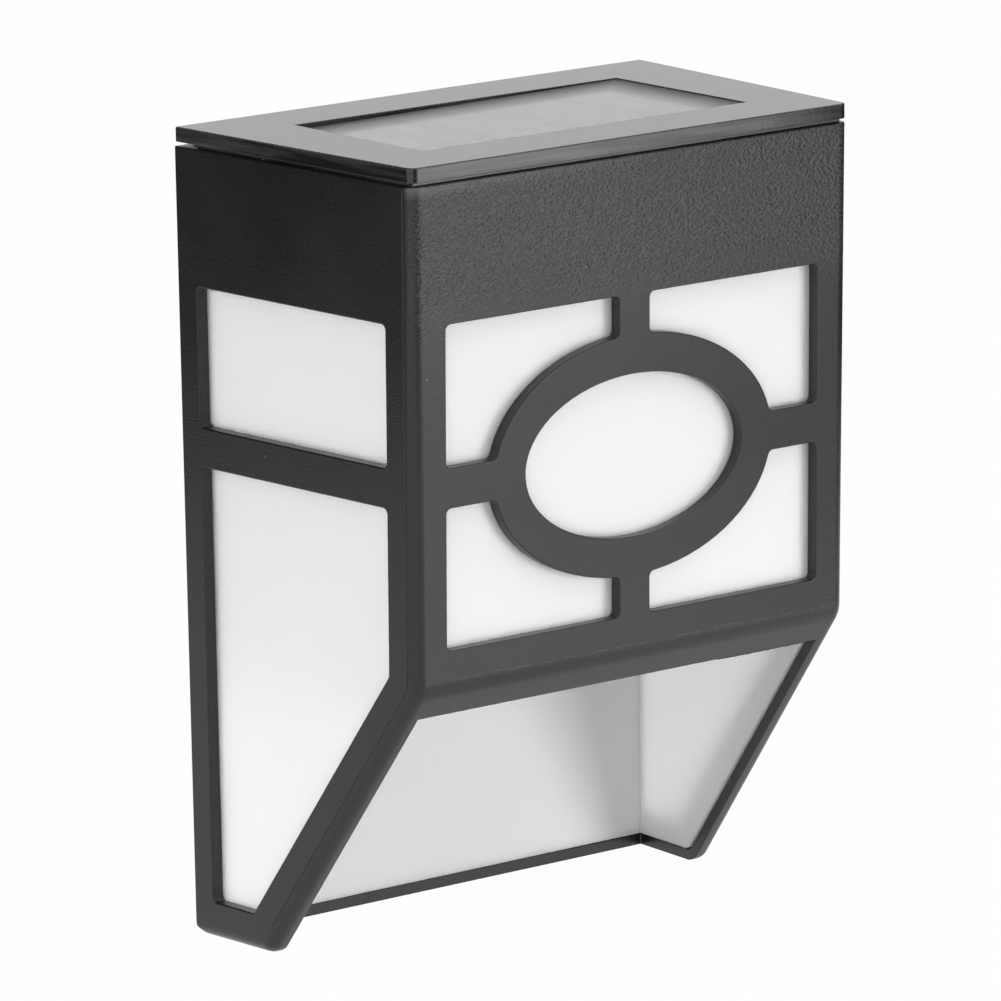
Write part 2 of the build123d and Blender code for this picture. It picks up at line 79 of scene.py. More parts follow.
def newGroup(name, kind, inputs, outputs):
    group = bpy.data.node_groups.new(name, kind)
    for label, socketKind, value in inputs:
        socket = group.interface.new_socket(label, in_out="INPUT", socket_type=socketKind)
        if value is not None:
            socket.default_value = value
    for label, socketKind in outputs:
        group.interface.new_socket(label, in_out="OUTPUT", socket_type=socketKind)
    return group, group.nodes.new("NodeGroupInput"), group.nodes.new("NodeGroupOutput")


def newEffect(name, inputs, outputs):  # shader group of plain values, inputs with their defaults
    given = [(label, "NodeSocketFloat", value) for label, value in inputs.items()]
    return newGroup(name, "ShaderNodeTree", given, [(label, "NodeSocketFloat") for label in outputs])


def useGroup(tree, group, **values):
    made = tree.nodes.new("ShaderNodeGroup")
    made.node_tree = group
    for key, value in values.items():
        feed(tree, made.inputs[key], value)
    return made.outputs


def maths(tree, operation, first, second=0.0):
    return addNode(tree, "ShaderNodeMath", {0: first, 1: second}, operation=operation).outputs[0]


def times(tree, *factors):
    result = factors[0]
    for factor in factors[1:]:
        result = maths(tree, "MULTIPLY", result, factor)
    return result


def remap(tree, value, fromLow, fromHigh, toLow=0.0, toHigh=1.0):
    made = addNode(
        tree, "ShaderNodeMapRange",
        {"Value": value, "From Min": fromLow, "From Max": fromHigh, "To Min": toLow, "To Max": toHigh},
    )
    return made.outputs["Result"]


def mixColor(tree, factor, first, second):
    return addNode(tree, "ShaderNodeMix", {0: factor, 6: first, 7: second}, data_type="RGBA").outputs[2]


def objectPlace(tree):
    return addNode(tree, "ShaderNodeTexCoord").outputs["Object"]


def objectAxes(tree):
    return addNode(tree, "ShaderNodeSeparateXYZ", {0: objectPlace(tree)}).outputs


def joinAxes(tree, **axes):
    return addNode(tree, "ShaderNodeCombineXYZ", axes).outputs[0]


def noiseAt(tree, place, scale, detail):
    made = addNode(tree, "ShaderNodeTexNoise", {"Vector": place, "Scale": scale, "Detail": detail})
    return made.outputs["Fac"]


def chanceOf(tree, pattern):  # one random value for each cell of a pattern
    return addNode(tree, "ShaderNodeSeparateColor", {0: pattern.outputs["Color"]}).outputs[0]


def grey(level):
    return (level, level, level, 1.0)


def scaledColor(color, factor):
    return tuple(min(1.0, part * factor) for part in color) + (1.0,)


def newMaterial(name, roughness, **sockets):
    material = bpy.data.materials.new(name)
    material.use_nodes = True
    tree = material.node_tree
    shader = tree.nodes["Principled BSDF"]
    shader.inputs["Roughness"].default_value = roughness
    for key, value in sockets.items():
        shader.inputs[key].default_value = value
    return material, tree, shader


def colorInto(tree, shader, color):
    feed(tree, shader.inputs["Base Color"], color)


def roughenInto(tree, shader, value, span, smoothest, roughest):
    feed(tree, shader.inputs["Roughness"], remap(tree, value, *span, smoothest, roughest))


def bumpInto(tree, shader, height, strength, distance):
    bump = addNode(tree, "ShaderNodeBump", {"Strength": strength, "Distance": distance, "Height": height})
    tree.links.new(bump.outputs["Normal"], shader.inputs["Normal"])


# shared effects: moulded grain, specks, and dashes rubbed along one level
noiseSpan = (0.3, 0.7)  # where most values of a noise lie
fineGrain = 0.006 * mm  # depth of the finest grain
grainLook = {"turn": (0.6, 0.4, 0.9), "stretch": (0.6, 1.0, 1.0), "detail": 1.5,
             "broadScale": 55.0, "broadDetail": 3.0}
rubLook = {"sway": 0.6 * mm, "swayScale": 90.0, "swayDetail": 2.0, "dashScale": 260.0, "dashDetail": 3.0}


def makeGrain():
    group, inward, outward = newEffect("mouldedGrain", {"Scale": 3000.0}, ["Height", "Tone"])
    place = objectPlace(group)
    turned = addNode(  # pebbles longer along X, turned off the flat faces
        group, "ShaderNodeMapping",
        {"Vector": place, "Rotation": grainLook["turn"], "Scale": grainLook["stretch"]},
    )
    fine = noiseAt(group, turned.outputs[0], inward.outputs["Scale"], grainLook["detail"])
    broad = noiseAt(group, place, grainLook["broadScale"], grainLook["broadDetail"])
    group.links.new(fine, outward.inputs["Height"])
    group.links.new(broad, outward.inputs["Tone"])
    return group


def makeSpecks():
    defaults = {"Scale": 400.0, "Size": 0.12, "Share": 0.2}
    group, inward, outward = newEffect("handlingSpecks", defaults, ["Mask"])
    place = objectPlace(group)
    dots = addNode(group, "ShaderNodeTexVoronoi", {"Vector": place, "Scale": inward.outputs["Scale"]})
    inside = maths(group, "LESS_THAN", dots.outputs["Distance"], inward.outputs["Size"])
    chosen = maths(group, "LESS_THAN", chanceOf(group, dots), inward.outputs["Share"])
    group.links.new(times(group, inside, chosen), outward.inputs["Mask"])
    return group


def makeRubLine():
    defaults = {"Level": 0.0, "Width": 0.2 * mm, "Share": 0.5}
    group, inward, outward = newEffect("rubbedLine", defaults, ["Mask"])
    axes = objectAxes(group)
    along = joinAxes(group, X=axes["X"])
    sway = noiseAt(group, along, rubLook["swayScale"], rubLook["swayDetail"])
    dashes = noiseAt(group, along, rubLook["dashScale"], rubLook["dashDetail"])
    swayed = remap(group, sway, 0, 1, -rubLook["sway"], rubLook["sway"])
    level = maths(group, "ADD", inward.outputs["Level"], swayed)
    away = maths(group, "ABSOLUTE", maths(group, "SUBTRACT", axes["Z"], level))
    near = maths(group, "LESS_THAN", away, inward.outputs["Width"])
    chosen = maths(group, "LESS_THAN", dashes, inward.outputs["Share"])
    group.links.new(times(group, near, chosen), outward.inputs["Mask"])
    return group


grainGroup = makeGrain()
specksGroup = makeSpecks()
rubGroup = makeRubLine()

# black moulded plastic of the housing, grained most of all above the front windows, with painted glints:
# lighter colour on the grain's peaks
housingFinish = {
    "name": "blackHousing", "color": 0.0088, "toneSpread": 0.2, "markTone": 0.11,
    "roughness": 0.31, "smoother": 0.03, "rougher": 0.05,
    "grainScale": 2900.0, "depth": 0.18 * mm, "plainDepth": 0.16,
    "glintColor": 0.03, "glintLow": 0.4, "glintHigh": 0.75,
    "specks": {"Scale": 230.0, "Size": 0.05, "Share": 0.12}, "speckStrength": 0.5,
    "bandLow": -13 * mm, "bandHigh": -5 * mm, "frontNear": -52.2 * mm, "frontFar": -51.4 * mm,
}
rubs = {  # along the bend under the windows, and on the left of the front rim
    "bend": {"Level": -63.2 * mm, "Width": 0.08 * mm, "Share": 0.5}, "bendStrength": 0.26,
    "bendLeft": -36 * mm, "bendBack": -48 * mm,
    "rimLow": 9.2 * mm, "rimHigh": 10.5 * mm, "rimLeft": -41 * mm, "rimRight": 5 * mm, "rimStrength": 0.9,
}


def makeHousingBlack(finish):
    rough, color, spread = finish["roughness"], finish["color"], finish["toneSpread"]
    material, tree, shader = newMaterial(finish["name"], rough)
    grain = useGroup(tree, grainGroup, Scale=finish["grainScale"])
    specks = useGroup(tree, specksGroup, **finish["specks"])["Mask"]
    dashes = useGroup(tree, rubGroup, **rubs["bend"])["Mask"]
    axes = objectAxes(tree)
    front = remap(tree, axes["Y"], finish["frontNear"], finish["frontFar"], 1.0, 0.0)
    upper = remap(tree, axes["Z"], finish["bandLow"], finish["bandHigh"])
    share = remap(tree, times(tree, front, upper), 0, 1, finish["plainDepth"], 1.0)
    # painted glints: the grain's peaks get a lighter colour, most of all above the front windows
    grainGlints = times(tree, share, remap(tree, grain["Height"], finish["glintLow"], finish["glintHigh"]))
    tone = mixColor(tree, grain["Tone"], grey(color * (1 - spread)), grey(color * (1 + spread)))
    tone = mixColor(tree, grainGlints, tone, grey(finish["glintColor"]))
    rimHeight = remap(tree, axes["Z"], rubs["rimLow"], rubs["rimHigh"])
    rimLength = remap(tree, axes["X"], rubs["rimLeft"], rubs["rimRight"], 1.0, 0.0)
    rimMark = times(tree, front, rimHeight, rimLength, grain["Tone"], rubs["rimStrength"])
    bendLength = maths(tree, "GREATER_THAN", axes["X"], rubs["bendLeft"])
    bendFront = maths(tree, "LESS_THAN", axes["Y"], rubs["bendBack"])
    bendMark = times(tree, dashes, bendLength, bendFront, rubs["bendStrength"])
    marks = maths(tree, "MAXIMUM", times(tree, specks, finish["speckStrength"]), bendMark)
    marks = maths(tree, "MAXIMUM", marks, rimMark)
    colorInto(tree, shader, mixColor(tree, marks, tone, grey(finish["markTone"])))
    roughenInto(tree, shader, grain["Tone"], noiseSpan, rough - finish["smoother"], rough + finish["rougher"])
    bumpInto(tree, shader, times(tree, grain["Height"], share), 1.0, finish["depth"])
    return material


# smoother black plastic of the lid: wiped haze on its top face, lightened further as painted sheen; scrapes
# along its edges, lightened partly as wear and partly as painted highlight
lidFinish = {
    "name": "blackLid", "color": 0.01, "hazeAndSheen": 0.07, "markTone": 0.16, "scuffsAndHighlights": 0.35, "ior": 1.54,
    "roughness": 0.15, "smoother": 0.01, "rougher": 0.03, "grainScale": 2400.0, "depth": 0.012 * mm,
    "specks": {"Scale": 230.0, "Size": 0.06, "Share": 0.16}, "speckStrength": 0.5,
    "wipeStretch": 0.4, "wipeScale": 260.0, "wipeDetail": 5.0, "wipeLeast": 0.55,
    "scrapeStretch": 0.06, "scrapeScale": 900.0, "scrapeDetail": 4.0, "scrapeLow": 0.4, "scrapeHigh": 0.75,
    "topLow": 13.5 * mm, "topHigh": 13.88 * mm,
}


def makeLidBlack(finish):
    rough = finish["roughness"]
    material, tree, shader = newMaterial(finish["name"], rough, IOR=finish["ior"])
    grain = useGroup(tree, grainGroup, Scale=finish["grainScale"])
    specks = useGroup(tree, specksGroup, **finish["specks"])["Mask"]
    axes = objectAxes(tree)
    wipes = joinAxes(tree, X=times(tree, axes["X"], finish["wipeStretch"]), Y=axes["Y"])
    wiped = noiseAt(tree, wipes, finish["wipeScale"], finish["wipeDetail"])
    scrapeX, scrapeY = (times(tree, axes[axis], finish["scrapeStretch"]) for axis in ("X", "Y"))
    scrapes = joinAxes(tree, X=scrapeX, Y=scrapeY, Z=axes["Z"])
    scraped = noiseAt(tree, scrapes, finish["scrapeScale"], finish["scrapeDetail"])
    top = remap(tree, axes["Z"], finish["topLow"], finish["topHigh"])
    haze = remap(tree, wiped, *noiseSpan, finish["wipeLeast"], 1.0)
    # top face lighter in a wiped pattern: haze, and painted sheen of the light the top face catches
    hazeAndSheen = times(tree, top, haze, remap(tree, grain["Height"], *noiseSpan))
    tone = mixColor(tree, hazeAndSheen, grey(finish["color"]), grey(finish["hazeAndSheen"]))
    scraped = remap(tree, scraped, finish["scrapeLow"], finish["scrapeHigh"])
    # sides lighter in scraped streaks: wear, and painted highlight along the lid's edges
    scuffsAndHighlights = times(tree, maths(tree, "SUBTRACT", 1.0, top), scraped, finish["scuffsAndHighlights"])
    marks = maths(tree, "MAXIMUM", times(tree, specks, finish["speckStrength"]), scuffsAndHighlights)
    # specks and scuffs take the lighter mark tone; on the scuffs it is partly painted highlight
    colorInto(tree, shader, mixColor(tree, marks, tone, grey(finish["markTone"])))
    roughenInto(tree, shader, wiped, noiseSpan, rough - finish["smoother"], rough + finish["rougher"])
    bumpInto(tree, shader, grain["Height"], 1.0, finish["depth"])
    return material


# milky diffuser
opal = {"color": 0.985, "toneSpread": 0.012, "reach": (1.0, 1.0, 0.98), "radius": 4.0 * mm, "roughness": 0.35,
        "grainScale": 900.0, "bump": 0.2}


def makeOpal():
    scatter = {
        "Subsurface Weight": 1.0, "Subsurface Radius": opal["reach"], "Subsurface Scale": opal["radius"],
    }
    material, tree, shader = newMaterial("opalPlastic", opal["roughness"], **scatter)
    grain = useGroup(tree, grainGroup, Scale=opal["grainScale"])
    low, high = grey(opal["color"] - opal["toneSpread"]), grey(opal["color"] + opal["toneSpread"])
    colorInto(tree, shader, mixColor(tree, grain["Tone"], low, high))
    bumpInto(tree, shader, grain["Height"], opal["bump"], fineGrain)
    return material


# lightly grained plastics and metals: each has a colour, a roughness and a metallic share
grained = {"scale": 1500.0, "heightSpan": (0.2, 0.8), "roughSpread": 0.15, "bump": 0.6}


def makeGrained(name, color, roughness, metallic=0.0, spread=0.15):
    material, tree, shader = newMaterial(name, roughness, Metallic=metallic)
    grain = useGroup(tree, grainGroup, Scale=grained["scale"])
    low, high = scaledColor(color, 1 - spread), scaledColor(color, 1 + spread)
    colorInto(tree, shader, mixColor(tree, grain["Tone"], low, high))
    smoothest, roughest = roughness * (1 - grained["roughSpread"]), roughness * (1 + grained["roughSpread"])
    roughenInto(tree, shader, grain["Height"], grained["heightSpan"], smoothest, roughest)
    bumpInto(tree, shader, grain["Height"], grained["bump"], fineGrain)
    return material


# lacquer and film with bands along X: from, to in millimetres and colour
banded = {"grainScale": 800.0, "roughSpread": 0.2, "bump": 0.3, "depth": 0.02 * mm}
batteryLook = {"name": "batteryFilm", "ground": (0.035, 0.16, 0.1), "roughness": 0.25,
               "bands": [(-24, -12, (0.5, 0.5, 0.48)), (-13, -12, (0.02, 0.02, 0.02))]}
chokeLook = {"name": "chokeLacquer", "ground": (0.2, 0.42, 0.22), "roughness": 0.3,
             "bands": [(6.2, 7.0, (0.45, 0.2, 0.05)), (7.8, 8.6, (0.02, 0.02, 0.02)),
                       (9.4, 10.2, (0.5, 0.05, 0.03)), (11.0, 11.8, (0.45, 0.36, 0.1))]}


def makeBanded(look):
    rough, spread = look["roughness"], banded["roughSpread"]
    material, tree, shader = newMaterial(look["name"], rough)
    along = objectAxes(tree)["X"]
    color = scaledColor(look["ground"], 1)
    for start, stop, shade in look["bands"]:
        after = maths(tree, "GREATER_THAN", along, start * mm)
        before = maths(tree, "LESS_THAN", along, stop * mm)
        color = mixColor(tree, times(tree, after, before), color, scaledColor(shade, 1))
    grain = useGroup(tree, grainGroup, Scale=banded["grainScale"])
    colorInto(tree, shader, color)
    roughenInto(tree, shader, grain["Tone"], noiseSpan, rough * (1 - spread), rough * (1 + spread))
    bumpInto(tree, shader, grain["Tone"], banded["bump"], banded["depth"])
    return material


# cast resin of the light emitting diodes
resin = {"color": (1.0, 0.97, 0.88), "toneSpread": 0.05, "roughness": 0.05, "ior": 1.5, "clearness": 0.75,
         "grainScale": 1200.0, "bump": 0.3}


def makeResin():
    clear = {"Transmission Weight": resin["clearness"]}
    material, tree, shader = newMaterial("ledResin", resin["roughness"], IOR=resin["ior"], **clear)
    grain = useGroup(tree, grainGroup, Scale=resin["grainScale"])
    low, high = scaledColor(resin["color"], 1 - resin["toneSpread"]), scaledColor(resin["color"], 1)
    colorInto(tree, shader, mixColor(tree, grain["Tone"], low, high))
    bumpInto(tree, shader, grain["Height"], resin["bump"], fineGrain)
    return material


# satin film on the panel, rougher along its back and right edges, where its colour is also darkened as
# painted shade, the dark reflection of the recess walls
film = {"roughness": 0.28, "ior": 1.55, "clearness": 0.97, "grainScale": 1200.0, "bump": 0.3,
        "edgeWidth": 8.5 * mm, "edgeRoughness": 0.85, "edgeShade": 0.28, "edgeLeast": 0.9}


def makeFilm():
    rough, width, clear = film["roughness"], film["edgeWidth"], {"Transmission Weight": film["clearness"]}
    material, tree, shader = newMaterial("panelFilm", rough, IOR=film["ior"], **clear)
    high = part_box("panel_cover")[1]
    axes = objectAxes(tree)
    right = remap(tree, axes["X"], high.x - width, high.x)
    back = remap(tree, axes["Y"], high.y - width, high.y)
    grain = useGroup(tree, grainGroup, Scale=film["grainScale"])
    uneven = remap(tree, grain["Tone"], *noiseSpan, film["edgeLeast"], 1.0)
    dullAndShaded = times(tree, maths(tree, "MAXIMUM", right, back), uneven)
    # painted shade: colour darker towards the back and right edges, beside the recess walls
    colorInto(tree, shader, mixColor(tree, dullAndShaded, grey(1.0), grey(film["edgeShade"])))
    roughenInto(tree, shader, dullAndShaded, (0, 1), rough, film["edgeRoughness"])
    bumpInto(tree, shader, grain["Height"], film["bump"], fineGrain)
    return material


# crystals of the solar cells
silicon = {"roughness": 0.22, "smoothest": 0.16, "roughest": 0.3, "crystalScale": 330.0,
           "dark": (0.012, 0.016, 0.04, 1), "light": (0.03, 0.04, 0.1, 1)}


def makeSilicon():
    material, tree, shader = newMaterial("siliconCells", silicon["roughness"])
    place = objectPlace(tree)
    crystals = addNode(tree, "ShaderNodeTexVoronoi", {"Vector": place, "Scale": silicon["crystalScale"]})
    chance = chanceOf(tree, crystals)
    colorInto(tree, shader, mixColor(tree, chance, silicon["dark"], silicon["light"]))
    roughenInto(tree, shader, chance, (0, 1), silicon["smoothest"], silicon["roughest"])
    return material


# green mask of the circuit boards with copper lanes under it
board = {"roughness": 0.35, "mask": (0.02, 0.13, 0.06, 1), "lane": (0.05, 0.26, 0.12, 1), "bump": 0.5,
         "depth": 0.03 * mm, "lanes": {"Scale": 420.0, "Mortar Size": 0.06, "Mortar Smooth": 0.2,
                                       "Brick Width": 1.7, "Row Height": 0.6}}


def makeBoard():
    material, tree, shader = newMaterial("boardMask", board["roughness"])
    lanes = addNode(tree, "ShaderNodeTexBrick", {"Vector": objectPlace(tree), **board["lanes"]})
    colorInto(tree, shader, mixColor(tree, lanes.outputs["Fac"], board["mask"], board["lane"]))
    bumpInto(tree, shader, lanes.outputs["Fac"], board["bump"], board["depth"])
    return material


blackHousing = makeHousingBlack(housingFinish)
blackLid = makeLidBlack(lidFinish)
opalPlastic = makeOpal()
whiteAbs = makeGrained("whiteTray", (0.8, 0.8, 0.78), 0.42, spread=0.03)
zincSteel = makeGrained("zincSteel", (0.62, 0.62, 0.6), 0.3, 1.0)
nickelSteel = makeGrained("nickelSteel", (0.7, 0.69, 0.66), 0.26, 1.0)
silverPaste = makeGrained("silverPaste", (0.75, 0.75, 0.74), 0.38, 0.8)
blackResin = makeGrained("blackResin", (0.02, 0.02, 0.021), 0.45)
rubbedPlastic = makeGrained("rubbedPlastic", (0.022, 0.022, 0.022), 0.35)
filmClear = makeFilm()
ledResin = makeResin()
print("materials ready")

# helpers for pieces
sharpAngle = 50  # degrees between two faces from which their edge is sharp
weldGap = 0.002 * mm


def hold(name, data):
    made = bpy.data.objects.new(name, data)
    bpy.context.scene.collection.objects.link(made)
    return made


def addPiece(name, mesh, body, material, slotName, *replaced):
    made = hold(name, mesh)
    mesh.materials.clear()
    mesh.materials.append(material)
    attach(made, body)
    if replaced:
        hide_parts(*replaced)


def shadeByAngle(mesh, degrees):
    mesh.polygons.foreach_set("use_smooth", [True] * len(mesh.polygons))
    mesh.set_sharp_from_angle(angle=math.radians(degrees))


def finishMesh(shape, name, degrees=sharpAngle):
    bmesh.ops.recalc_face_normals(shape, faces=shape.faces)
    mesh = bpy.data.meshes.new(name)
    shape.to_mesh(mesh)
    shape.free()
    shadeByAngle(mesh, degrees)
    return mesh


def settle(made, name):  # plain mesh of an object with its modifiers, the object goes
    mesh = bpy.data.meshes.new_from_object(made.evaluated_get(bpy.context.evaluated_depsgraph_get()))
    mesh.name = name
    bpy.data.objects.remove(made)
    return mesh


def weldedCopy(nodeName):
    source = cadNodes[nodeName].data
    shape = bmesh.new()
    corners = [shape.verts.new(vertex.co) for vertex in source.vertices]
    for face in source.polygons:
        shape.faces.new([corners[index] for index in face.vertices])
    bmesh.ops.remove_doubles(shape, verts=shape.verts, dist=weldGap)
    return shape


def solidBoxes(nodeName):  # lower and upper corner of each separate solid of a CAD node
    shape = weldedCopy(nodeName)
    waiting, boxes = set(shape.verts), []
    while waiting:
        stack, points = [waiting.pop()], []
        while stack:
            corner = stack.pop()
            points.append(corner.co.copy())
            linked = [edge.other_vert(corner) for edge in corner.link_edges]
            fresh = [other for other in linked if other in waiting]
            waiting.difference_update(fresh)
            stack += set(fresh)
        ends = [[pick(point[axis] for point in points) for axis in range(3)] for pick in (min, max)]
        boxes.append([Vector(end) for end in ends])
    shape.free()
    return sorted(boxes, key=lambda box: tuple(box[0]))


def skinInto(shape, rows):  # closed skin over rows that have the same number of corners
    shape.faces.new(reversed(rows[0]))
    shape.faces.new(rows[-1])
    for near, far in zip(rows, rows[1:]):
        for step in range(len(near)):
            after = (step + 1) % len(near)
            shape.faces.new((near[step], near[after], far[after], far[step]))


def slabInto(shape, corners, height):
    upper = [corner + Vector((0, 0, height)) for corner in corners]
    skinInto(shape, [[shape.verts.new(corner) for corner in row] for row in (corners, upper)])


def tubeInto(shape, line, radius, sides):
    rings = []
    turns = [2 * math.pi * step / sides for step in range(sides)]
    for index, point in enumerate(line):
        heading = (line[min(index + 1, len(line) - 1)] - line[max(index - 1, 0)]).normalized()
        across = heading.orthogonal().normalized()
        over = heading.cross(across)
        spokes = [across * math.cos(turn) + over * math.sin(turn) for turn in turns]
        rings.append([shape.verts.new(point + radius * spoke) for spoke in spokes])
    skinInto(shape, rings)


def turnedInto(shape, profile, segments, centre=Vector()):
    rings = []
    for radius, height in profile:
        count = segments if radius > 0 else 1
        turns = [2 * math.pi * step / count for step in range(count)]
        spots = [Vector((radius * math.cos(turn), radius * math.sin(turn), height)) for turn in turns]
        rings.append([shape.verts.new(centre + spot) for spot in spots])
    for near, far in zip(rings, rings[1:]):
        for step in range(segments):
            after = (step + 1) % segments
            loop = [near[step % len(near)], near[after % len(near)]]
            loop += [far[after % len(far)], far[step % len(far)]]
            shape.faces.new(list(dict.fromkeys(loop)))


def cutCorners(wide, deep, shareX, shareY):  # outline of a rectangle without its corners
    outline = []
    for signX, signY in ((1, 1), (-1, 1), (-1, -1), (1, -1)):
        ends = [(signX, signY * shareY), (signX * shareX, signY)]
        outline += ends if signX == signY else ends[::-1]
    return [(x * wide / 2, y * deep / 2) for x, y in outline]


# node tree that sets one shape on many points, each with its own turn
def makeRepeater():
    group, inward, outward = newGroup(
        "repeatedPiece", "GeometryNodeTree",
        [("Geometry", "NodeSocketGeometry", None), ("Shape", "NodeSocketObject", None),
         ("Material", "NodeSocketMaterial", None), ("Flip", "NodeSocketFloat", 0.0),
         ("Tilt", "NodeSocketFloat", 0.0), ("Turn", "NodeSocketFloat", 0.0), ("Seed", "NodeSocketInt", 4)],
        [("Geometry", "NodeSocketGeometry")],
    )
    given = inward.outputs
    shape = addNode(group, "GeometryNodeObjectInfo", {"Object": given["Shape"]})
    turn = addNode(
        group, "FunctionNodeRandomValue",
        {2: 0.0, 3: given["Turn"], "Seed": given["Seed"]}, data_type="FLOAT",
    )
    rotation = joinAxes(group, X=given["Flip"], Y=given["Tilt"], Z=turn.outputs[1])
    placed = addNode(
        group, "GeometryNodeInstanceOnPoints",
        {"Points": given["Geometry"], "Instance": shape.outputs["Geometry"], "Rotation": rotation},
    )
    plain = addNode(group, "GeometryNodeRealizeInstances", {"Geometry": placed.outputs[0]})
    colored = addNode(
        group, "GeometryNodeSetMaterial", {"Geometry": plain.outputs[0], "Material": given["Material"]},
    )
    group.links.new(colored.outputs[0], outward.inputs["Geometry"])
    return group


repeater = makeRepeater()
sockets = {item.name: item.identifier for item in repeater.interface.items_tree if item.in_out == "INPUT"}


def repeat(name, template, points, material, **values):
    pattern = hold(name + "Shape", template)
    spots = bpy.data.meshes.new(name + "Spots")
    spots.from_pydata([tuple(point) for point in points], [], [])
    carrier = hold(name + "Carrier", spots)
    layout = carrier.modifiers.new("layout", "NODES")
    layout.node_group = repeater
    for key, value in {"Shape": pattern, "Material": material, **values}.items():
        layout[sockets[key]] = value
    mesh = settle(carrier, name)
    bpy.data.objects.remove(pattern)
    return mesh


# shells: copies of the CAD pieces with softened edges, where the housing's thin lip stays sharp
softening = {"flatAngle": 0.3, "segments": 3, "flatArea": 500 * mm * mm, "sharpBelow": -1.0}
shells = [
    {"piece": "housingShell", "node": "housing", "body": "housing", "slot": "black_abs",
     "material": blackHousing, "edge": 0.24 * mm, "sharpBelow": -110.3 * mm},
    {"piece": "diffuserInsert", "node": "diffuser", "body": "housing", "slot": "opal_plastic",
     "material": opalPlastic, "edge": 0.15 * mm},
    {"piece": "lidCap", "node": "lid", "body": "lid_module", "slot": "black_abs",
     "material": blackLid, "edge": 0.12 * mm},
    {"piece": "trayShell", "node": "module_tray", "body": "lid_module", "slot": "white_abs",
     "material": whiteAbs, "edge": 0.15 * mm},
    {"piece": "batteryCover", "node": "battery_cover", "body": "battery_cover", "slot": "white_abs",
     "material": whiteAbs, "edge": 0.15 * mm},
]


def softenedMesh(shell):
    shape = weldedCopy(shell["node"])
    flatAngle = math.radians(softening["flatAngle"])
    bmesh.ops.dissolve_limit(shape, angle_limit=flatAngle, verts=shape.verts, edges=shape.edges)
    weights = shape.edges.layers.float.new("bevel_weight_edge")
    sharpBelow = shell.get("sharpBelow", softening["sharpBelow"])
    for edge in shape.edges:
        low = max(corner.co.z for corner in edge.verts) <= sharpBelow
        edge[weights] = float(edge.calc_face_angle(0.0) > math.radians(sharpAngle) and not low)
    temporary = hold("temporary", finishMesh(shape, shell["piece"]))
    bevel = temporary.modifiers.new("edges", "BEVEL")
    bevel.width, bevel.segments = shell["edge"], softening["segments"]
    bevel.use_clamp_overlap, bevel.limit_method = False, "WEIGHT"
    bevel.harden_normals = True  # flat faces stay flat up to the rounded edges
    mesh = settle(temporary, shell["piece"])
    normals = [corner.vector.copy() for corner in mesh.corner_normals]
    for face in mesh.polygons:
        if face.area > softening["flatArea"]:
            for index in face.loop_indices:
                normals[index] = face.normal.copy()
    mesh.normals_split_custom_set(normals)
    return mesh


for shell in shells:
    mesh = softenedMesh(shell)
    addPiece(shell["piece"], mesh, shell["body"], shell["material"], shell["slot"], shell["node"])
print("shells ready")

# parting line of the mould on both sides, along the tangent of the rounded edges; places are Y and Z
partingLine = {
    "rim": (-53.2 * mm, 10.6 * mm), "bend": (-51.9 * mm, -64.8 * mm), "toe": (-16.9 * mm, -110.6 * mm),
    "setIn": 2.1 * mm, "bendRadius": 2.9 * mm, "bendShares": (0.25, 0.5, 0.75), "toeStop": 4 * mm,
    "step": 1.5 * mm, "radius": 0.11 * mm, "sides": 6, "castFrom": 100 * mm,
}


def partingPath():
    rim, bend, toe = (Vector(partingLine[key]) for key in ("rim", "bend", "toe"))
    down, slant = (bend - rim).normalized(), (toe - bend).normalized()
    inDown, inSlant = Vector((-down.y, down.x)), Vector((-slant.y, slant.x))
    setIn = partingLine["setIn"]
    half = math.acos(down.dot(slant)) / 2
    corner = bend + (inDown + inSlant).normalized() * setIn / math.cos(half)
    run = partingLine["bendRadius"] * math.tan(half)
    start, stop = rim + inDown * setIn, toe + inSlant * setIn - slant * partingLine["toeStop"]
    bendIn, bendOut = corner - down * run, corner + slant * run
    path = []
    for first, last in ((start, bendIn), (bendOut, stop)):
        count = int((last - first).length / partingLine["step"])
        path += [first.lerp(last, step / count) for step in range(count + 1)]
        if last is bendIn:  # rounded corner between the two runs
            for share in partingLine["bendShares"]:
                path.append(bendIn.lerp(corner, share).lerp(corner.lerp(bendOut, share), share))
    return path


def partingMesh():
    skin = cadNodes["housing"].data
    places, faces = [corner.co for corner in skin.vertices], [face.vertices[:] for face in skin.polygons]
    tree = BVHTree.FromPolygons(places, faces)
    shape = bmesh.new()
    for side in (-1, 1):
        inward = Vector((-side, 0, 0))
        starts = [Vector((side * partingLine["castFrom"], y, z)) for y, z in partingPath()]
        hits = [tree.ray_cast(start, inward)[0] for start in starts]
        tubeInto(shape, [hit for hit in hits if hit], partingLine["radius"], partingLine["sides"])
    return finishMesh(shape, "partingLine")


addPiece("partingLine", partingMesh(), "housing", rubbedPlastic, "black_abs")

# ragged flash left along the right of the band's lower edge
flash = {
    "from": 19 * mm, "to": 37 * mm, "step": 0.2 * mm, "edge": Vector((0, -48.5, -69.25)) * mm,
    "down": Vector((0, 0.607, -0.795)), "inward": Vector((0, 0.795, 0.607)),
    "root": 0.15 * mm, "deep": 0.25 * mm, "least": 0.06 * mm, "reach": 0.55 * mm,
    "coarseScale": 900, "coarseRow": 3.1, "fineScale": 3100, "fineRow": 7.7, "fineShare": 0.35,
}


def raggedAt(x):
    coarse = noise.noise(Vector((x * flash["coarseScale"], flash["coarseRow"], 0)))
    fine = noise.noise(Vector((x * flash["fineScale"], flash["fineRow"], 0)))
    return max(0.0, coarse + flash["fineShare"] * fine)


